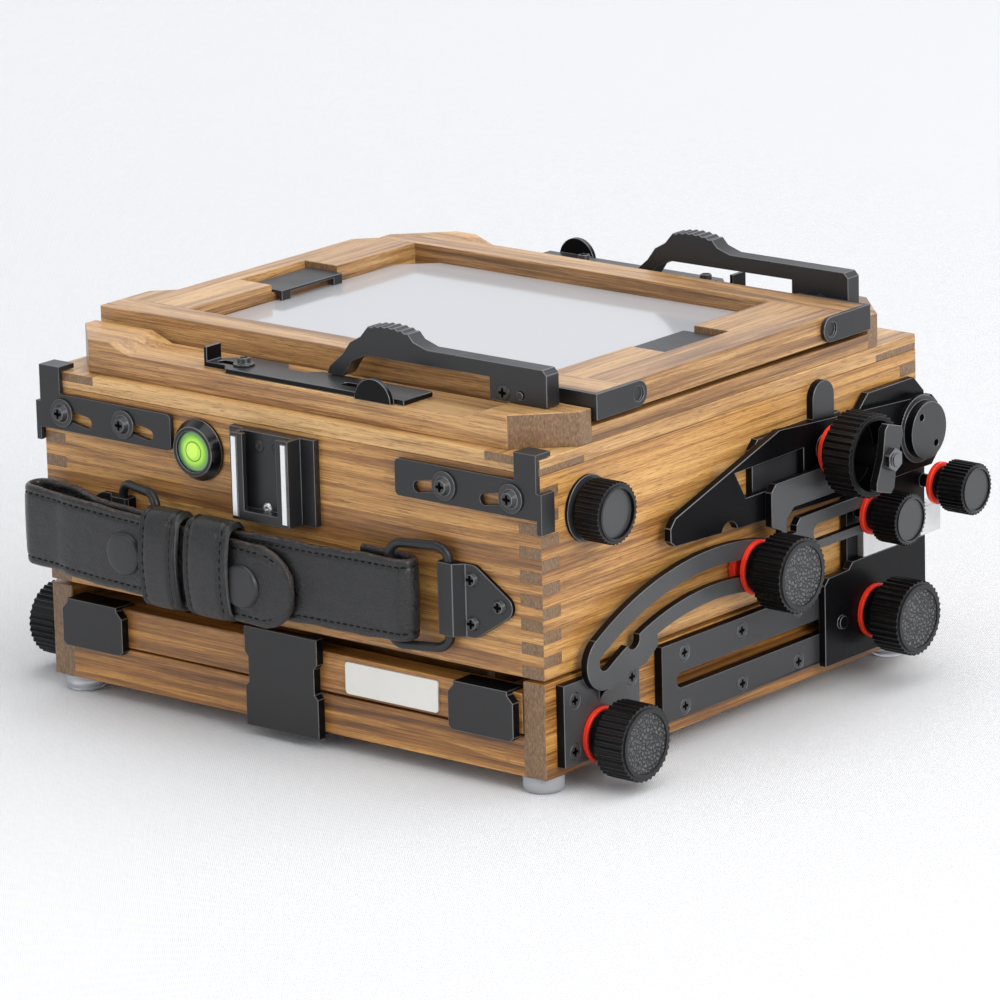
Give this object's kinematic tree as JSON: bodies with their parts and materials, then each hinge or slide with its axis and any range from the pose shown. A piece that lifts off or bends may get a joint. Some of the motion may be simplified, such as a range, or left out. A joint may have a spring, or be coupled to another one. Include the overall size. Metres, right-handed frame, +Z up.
{
  "type": "field camera",
  "caption": "Wooden folding field camera for sheet film, folded shut, with black metal stays, lock knobs, a leather strap and a ground glass back.",
  "frame": {"origin": "mouth of the tripod socket in the middle of the bed's underside", "axes": "+X to the right along the strap face, +Y from the strap face to the hinge end, +Z up"},
  "size_m": [0.2548, 0.202, 0.1254],
  "materials": {
    "walnut": "satin",
    "dark_walnut": "satin",
    "black_metal": "satin",
    "red_metal": "gloss",
    "silver_metal": "satin",
    "steel": "satin",
    "black_leather": "satin",
    "foot_rubber": "matt",
    "bellows_cloth": "matt",
    "matt_glass": "matt"
  },
  "bodies": {
    "bed": {"bed_frame": "walnut", "tripod_plate": "black_metal", "rubber_feet": "foot_rubber", "slot_plates": "black_metal", "stay_right": "black_metal", "stay_left": "black_metal", "bed_screws": "black_metal", "focus_washers": "red_metal"},
    "focus_track": {"track_board": "walnut", "track_tabs": "black_metal", "name_plate": "silver_metal", "track_racks": "silver_metal"},
    "focus_shaft": {"focus_shaft": "steel", "focus_knobs": "black_metal"},
    "front_standard": {"front_frame": "dark_walnut", "lens_board": "black_metal"},
    "rear_carriage": {"carriage_plates": "black_metal", "rear_crossbar": "silver_metal", "rear_uprights": "black_metal", "carriage_washers": "red_metal"},
    "rear_arms": {"arms": "black_metal", "cup_washers": "red_metal", "pivot_discs": "black_metal"},
    "rear_box": {"box_sides": "walnut", "box_ends": "walnut", "side_guides": "black_metal", "accessory_shoe": "black_metal", "spirit_level": "black_metal", "strap_plates": "black_metal", "strap_rings": "black_metal", "leather_strap": "black_leather", "box_screws": "black_metal", "bellows": "bellows_cloth", "seat_frame": "walnut", "back_board": "walnut"},
    "spring_back": {"glass_frame": "walnut", "ground_glass": "matt_glass", "glass_fittings": "black_metal"},
    "front_lever": {"lever_front": "black_metal"},
    "rear_lever": {"lever_rear": "black_metal"},
    "front_clamp": {"clamp_front": "black_metal"},
    "rear_clamp": {"clamp_rear": "black_metal"},
    "right_latch": {"latch_right": "black_metal"},
    "left_latch": {"latch_left": "black_metal"},
    "right_stay_clamp": {"stay_clamp_right": "red_metal"},
    "right_stay_knob": {"stay_knob_right": "black_metal"},
    "right_slide_knob": {"slide_knob_right": "black_metal"},
    "right_shift_knob": {"shift_knob_right": "black_metal"},
    "right_swing_knob": {"swing_knob_right": "black_metal"},
    "right_cup_knob": {"cup_knob_right": "black_metal"},
    "right_lock_lever": {"lock_lever_right": "black_metal"},
    "right_box_knob": {"box_knob_right": "black_metal"},
    "left_stay_clamp": {"stay_clamp_left": "red_metal"},
    "left_stay_knob": {"stay_knob_left": "black_metal"},
    "left_slide_knob": {"slide_knob_left": "black_metal"},
    "left_shift_knob": {"shift_knob_left": "black_metal"},
    "left_swing_knob": {"swing_knob_left": "black_metal"},
    "left_cup_knob": {"cup_knob_left": "black_metal"},
    "left_lock_lever": {"lock_lever_left": "black_metal"},
    "left_box_knob": {"box_knob_left": "black_metal"}
  },
  "joints": [
    {"name": "track_slide", "type": "slide", "parent": "bed", "child": "focus_track", "axis": [0, 1, 0], "range_m": [-0.1, 0]},
    {"name": "focus_turn", "type": "hinge", "parent": "bed", "child": "focus_shaft", "pos_m": [0, -0.0685, 0.0095], "axis": [1, 0, 0], "range_deg": [0, 1640]},
    {"name": "carriage_slide", "type": "slide", "parent": "bed", "child": "rear_carriage", "axis": [0, 1, 0], "range_m": [-0.026, 0]},
    {"name": "arm_hinge", "type": "hinge", "parent": "rear_carriage", "child": "rear_arms", "pos_m": [0, 0.0825, 0.0672], "axis": [-1, 0, 0], "range_deg": [0, 90]},
    {"name": "standard_hinge", "type": "hinge", "parent": "focus_track", "child": "front_standard", "pos_m": [0, -0.0675, 0.0236], "axis": [1, 0, 0], "range_deg": [0, 90]},
    {"name": "box_rise", "type": "slide", "parent": "rear_arms", "child": "rear_box", "axis": [0, 1, 0], "range_m": [-0.008, 0]},
    {"name": "back_lift", "type": "slide", "parent": "rear_box", "child": "spring_back", "axis": [0, 0, 1], "range_m": [0, 0.008], "stiffness_N_per_m": 1500, "springref_m": -0.004},
    {"name": "front_lever_turn", "type": "hinge", "parent": "spring_back", "child": "front_lever", "pos_m": [0.0761, -0.0712, 0.107], "axis": [0, 1, 0], "range_deg": [-7, 0]},
    {"name": "rear_lever_turn", "type": "hinge", "parent": "spring_back", "child": "rear_lever", "pos_m": [0.0761, 0.0712, 0.107], "axis": [0, 1, 0], "range_deg": [-7, 0]},
    {"name": "front_clamp_slide", "type": "slide", "parent": "rear_box", "child": "front_clamp", "axis": [1, 0, 0], "range_m": [0, 0.008]},
    {"name": "rear_clamp_slide", "type": "slide", "parent": "rear_box", "child": "rear_clamp", "axis": [-1, 0, 0], "range_m": [0, 0.008]},
    {"name": "right_latch_slide", "type": "slide", "parent": "rear_box", "child": "right_latch", "axis": [0.9833, 0, 0.1822], "range_m": [0, 0.01]},
    {"name": "right_stay_slide", "type": "hinge", "parent": "bed", "child": "right_stay_clamp", "pos_m": [0, -0.01748, -0.05801], "axis": [1, 0, 0], "range_deg": [0, 36]},
    {"name": "right_stay_knob_turn", "type": "hinge", "parent": "right_stay_clamp", "child": "right_stay_knob", "pos_m": [0.107, 0.0024, 0.0428], "axis": [1, 0, 0], "continuous": true},
    {"name": "right_slide_knob_turn", "type": "hinge", "parent": "rear_carriage", "child": "right_slide_knob", "pos_m": [0.107, 0.0595, 0.0162], "axis": [1, 0, 0], "continuous": true},
    {"name": "right_shift_knob_turn", "type": "hinge", "parent": "rear_carriage", "child": "right_shift_knob", "pos_m": [0.107, 0.055, 0.04775], "axis": [1, 0, 0], "continuous": true},
    {"name": "right_swing_knob_turn", "type": "hinge", "parent": "rear_carriage", "child": "right_swing_knob", "pos_m": [0.107, 0.0885, 0.0495], "axis": [1, 0, 0], "continuous": true},
    {"name": "right_cup_knob_turn", "type": "hinge", "parent": "rear_arms", "child": "right_cup_knob", "pos_m": [0.107, 0.036, 0.0715], "axis": [1, 0, 0], "continuous": true},
    {"name": "right_box_knob_turn", "type": "hinge", "parent": "rear_box", "child": "right_box_knob", "pos_m": [0.107, -0.069, 0.076], "axis": [1, 0, 0], "continuous": true},
    {"name": "right_lock_lever_turn", "type": "hinge", "parent": "rear_arms", "child": "right_lock_lever", "pos_m": [0.123, 0.036, 0.0715], "axis": [1, 0, 0], "range_deg": [-90, 90]},
    {"name": "left_latch_slide", "type": "slide", "parent": "rear_box", "child": "left_latch", "axis": [-0.9833, 0, 0.1822], "range_m": [0, 0.01]},
    {"name": "left_stay_slide", "type": "hinge", "parent": "bed", "child": "left_stay_clamp", "pos_m": [0, -0.01748, -0.05801], "axis": [1, 0, 0], "range_deg": [0, 36]},
    {"name": "left_stay_knob_turn", "type": "hinge", "parent": "left_stay_clamp", "child": "left_stay_knob", "pos_m": [-0.107, 0.0024, 0.0428], "axis": [-1, 0, 0], "continuous": true},
    {"name": "left_slide_knob_turn", "type": "hinge", "parent": "rear_carriage", "child": "left_slide_knob", "pos_m": [-0.107, 0.0595, 0.0162], "axis": [-1, 0, 0], "continuous": true},
    {"name": "left_shift_knob_turn", "type": "hinge", "parent": "rear_carriage", "child": "left_shift_knob", "pos_m": [-0.107, 0.055, 0.04775], "axis": [-1, 0, 0], "continuous": true},
    {"name": "left_swing_knob_turn", "type": "hinge", "parent": "rear_carriage", "child": "left_swing_knob", "pos_m": [-0.107, 0.0885, 0.0495], "axis": [-1, 0, 0], "continuous": true},
    {"name": "left_cup_knob_turn", "type": "hinge", "parent": "rear_arms", "child": "left_cup_knob", "pos_m": [-0.107, 0.036, 0.0715], "axis": [-1, 0, 0], "continuous": true},
    {"name": "left_box_knob_turn", "type": "hinge", "parent": "rear_box", "child": "left_box_knob", "pos_m": [-0.107, -0.069, 0.076], "axis": [-1, 0, 0], "continuous": true},
    {"name": "left_lock_lever_turn", "type": "hinge", "parent": "rear_arms", "child": "left_lock_lever", "pos_m": [-0.123, 0.036, 0.0715], "axis": [-1, 0, 0], "range_deg": [-90, 90]}
  ],
  "couplings": [
    {"joint": "focus_turn", "follows": "track_slide", "rad_per_m": -285.71},
    {"joint": "standard_hinge", "follows": "arm_hinge", "ratio": 1},
    {"joint": "front_lever_turn", "follows": "back_lift", "rad_per_m": -13.96},
    {"joint": "rear_lever_turn", "follows": "back_lift", "rad_per_m": -13.96}
  ]
}
